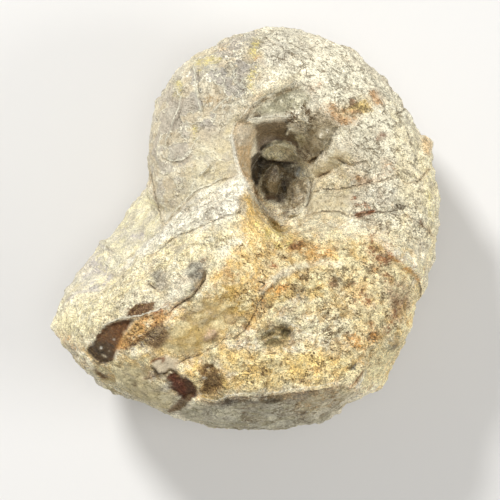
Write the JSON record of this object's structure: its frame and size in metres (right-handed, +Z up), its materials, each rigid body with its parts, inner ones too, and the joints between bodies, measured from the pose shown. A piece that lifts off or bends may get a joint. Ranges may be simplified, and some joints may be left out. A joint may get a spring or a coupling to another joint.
{
  "type": "nautilus fossil",
  "caption": "Stone cast of a coiled nautilus shell, lying on one flank, with a deep open umbilicus and a broken mouth.",
  "frame": {"origin": "under the middle of the stone's box, on the surface that it lies on", "axes": "+Z up out of the flank that shows, +Y along the stone's longest side, towards the top of the coil, +X across it, towards the flank opposite the broken mouth"},
  "size_m": [0.048, 0.059, 0.038],
  "materials": {
    "weathered_limestone": "rough weathered limestone, cream to ochre, with smooth taupe and rust-brown areas"
  },
  "bodies": {
    "root": {"nautilus_fossil": "weathered_limestone"}
  },
  "joints": []
}
